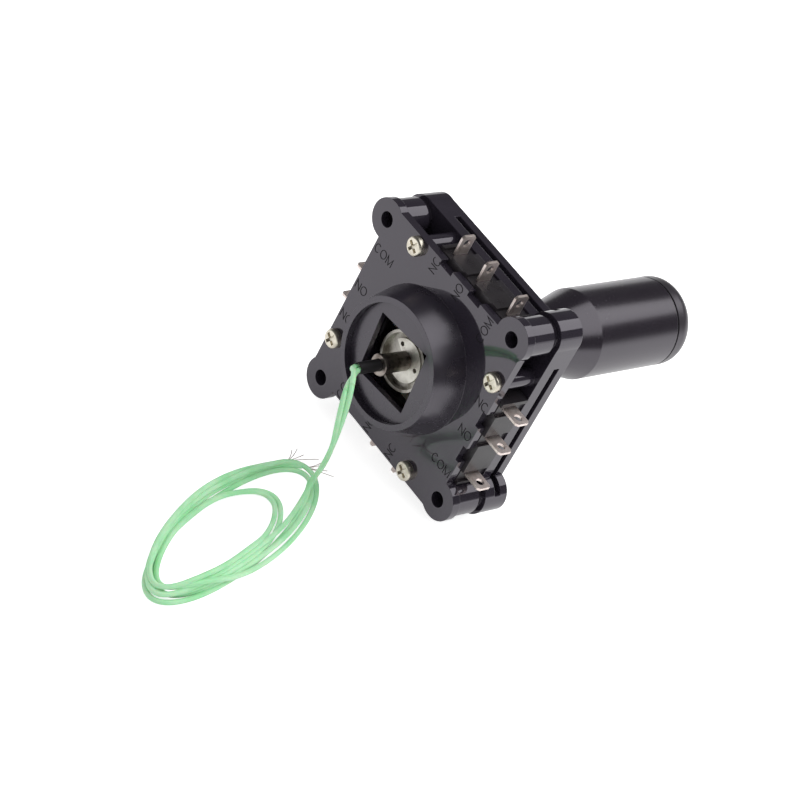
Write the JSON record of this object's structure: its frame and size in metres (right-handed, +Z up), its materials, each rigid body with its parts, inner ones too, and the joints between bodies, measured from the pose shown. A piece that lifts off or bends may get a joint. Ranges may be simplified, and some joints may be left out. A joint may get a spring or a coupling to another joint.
{
  "type": "industrial joystick",
  "caption": "Panel joystick with a round knob and push button, a two-axis gimbal, snap switches on every side with solder tabs, and thin button leads.",
  "frame": {"origin": "pivot of the stick, in the plane where the body meets the panel, centre of the bolt square", "axes": "+X along the stick towards the knob, +Z up as the joystick lies on a bench, +Y completes a right-handed frame"},
  "size_m": [0.1355, 0.0488, 0.0488],
  "materials": {
    "body_black": "glossy black moulded nylon",
    "switch_grey": "dark grey moulded phenolic",
    "acetal_black": "smooth black acetal",
    "acetal_white": "smooth natural acetal",
    "plunger_ivory": "smooth ivory acetal",
    "knob_black": "satin black",
    "button_black": "fine matt black",
    "screw_nickel": "bright nickel plate",
    "cup_nickel": "nickel plate, lightly worn",
    "tube_nickel": "drawn tube, nickel plate",
    "tab_tin": "tin plate",
    "pin_steel": "turned steel",
    "spring_steel": "drawn spring wire",
    "blade_bronze": "rolled copper alloy",
    "sleeve_black": "matt black sleeve",
    "wire_green": "light green insulation"
  },
  "bodies": {
    "housing": {"rear_housing": "body_black", "gate_plate": "body_black", "front_housing": "body_black", "housing_screws": "screw_nickel", "gimbal_pins": "pin_steel", "switch_case_up": "switch_grey", "switch_cover_up": "switch_grey", "switch_tabs_up": "tab_tin", "switch_blade_up": "blade_bronze", "switch_case_right": "switch_grey", "switch_cover_right": "switch_grey", "switch_tabs_right": "tab_tin", "switch_blade_right": "blade_bronze", "switch_case_down": "switch_grey", "switch_cover_down": "switch_grey", "switch_tabs_down": "tab_tin", "switch_blade_down": "blade_bronze", "switch_case_left": "switch_grey", "switch_cover_left": "switch_grey", "switch_tabs_left": "tab_tin", "switch_blade_left": "blade_bronze", "wire_run_a": "wire_green", "wire_run_b": "wire_green", "wire_coil": "wire_green"},
    "gimbal": {"gimbal_ring": "acetal_black"},
    "stick": {"stick_pins": "pin_steel", "pivot_hub": "acetal_black", "stick_shaft": "pin_steel", "shaft_tube": "tube_nickel", "actuator": "acetal_white", "return_spring": "spring_steel", "spring_cup": "cup_nickel", "retaining_clip": "cup_nickel", "dust_dome": "acetal_black", "knob_barrel": "knob_black", "grub_screw": "pin_steel", "knob_cap": "knob_black", "button_spring": "spring_steel", "push_switch_case": "switch_grey", "push_holder": "acetal_black", "push_pins": "tab_tin", "wire_sleeve": "sleeve_black", "inner_wires": "wire_green"},
    "button": {"push_button": "button_black"},
    "button_switch_plunger": {"push_plunger": "plunger_ivory"},
    "plunger_up": {"switch_plunger_up": "plunger_ivory"},
    "plunger_right": {"switch_plunger_right": "plunger_ivory"},
    "plunger_down": {"switch_plunger_down": "plunger_ivory"},
    "plunger_left": {"switch_plunger_left": "plunger_ivory"}
  },
  "joints": [
    {"name": "tilt_up_down", "type": "hinge", "parent": "housing", "child": "gimbal", "pos_m": [0, 0, 0], "axis": [0, 1, 0], "range_deg": [-13, 13], "stiffness_Nm_per_rad": 0.9},
    {"name": "tilt_left_right", "type": "hinge", "parent": "gimbal", "child": "stick", "pos_m": [0, 0, 0], "axis": [0, 0, 1], "range_deg": [-13, 13], "stiffness_Nm_per_rad": 0.9},
    {"name": "button_press", "type": "slide", "parent": "stick", "child": "button", "axis": [-1, 0, 0], "range_m": [0, 0.0012], "stiffness_N_per_m": 1500, "springref_m": -0.0015, "deforming": ["button_spring"]},
    {"name": "button_switch_travel", "type": "slide", "parent": "stick", "child": "button_switch_plunger", "axis": [-1, 0, 0], "range_m": [0, 0.0004]},
    {"name": "plunger_travel_up", "type": "slide", "parent": "housing", "child": "plunger_up", "axis": [0, -0.0958, 0.9954], "range_m": [-0.00045, 0.00045]},
    {"name": "plunger_travel_right", "type": "slide", "parent": "housing", "child": "plunger_right", "axis": [0, -0.9954, -0.0958], "range_m": [-0.00045, 0.00045]},
    {"name": "plunger_travel_down", "type": "slide", "parent": "housing", "child": "plunger_down", "axis": [0, 0.0958, -0.9954], "range_m": [-0.00045, 0.00045]},
    {"name": "plunger_travel_left", "type": "slide", "parent": "housing", "child": "plunger_left", "axis": [0, 0.9954, 0.0958], "range_m": [-0.00045, 0.00045]}
  ],
  "couplings": [
    {"joint": "button_switch_travel", "follows": "button_press", "ratio": 0.3333},
    {"joint": "plunger_travel_up", "follows": "tilt_up_down", "m_per_rad": 0.00198},
    {"joint": "plunger_travel_right", "follows": "tilt_left_right", "m_per_rad": 0.00198},
    {"joint": "plunger_travel_down", "follows": "tilt_up_down", "m_per_rad": -0.00198},
    {"joint": "plunger_travel_left", "follows": "tilt_left_right", "m_per_rad": -0.00198}
  ]
}
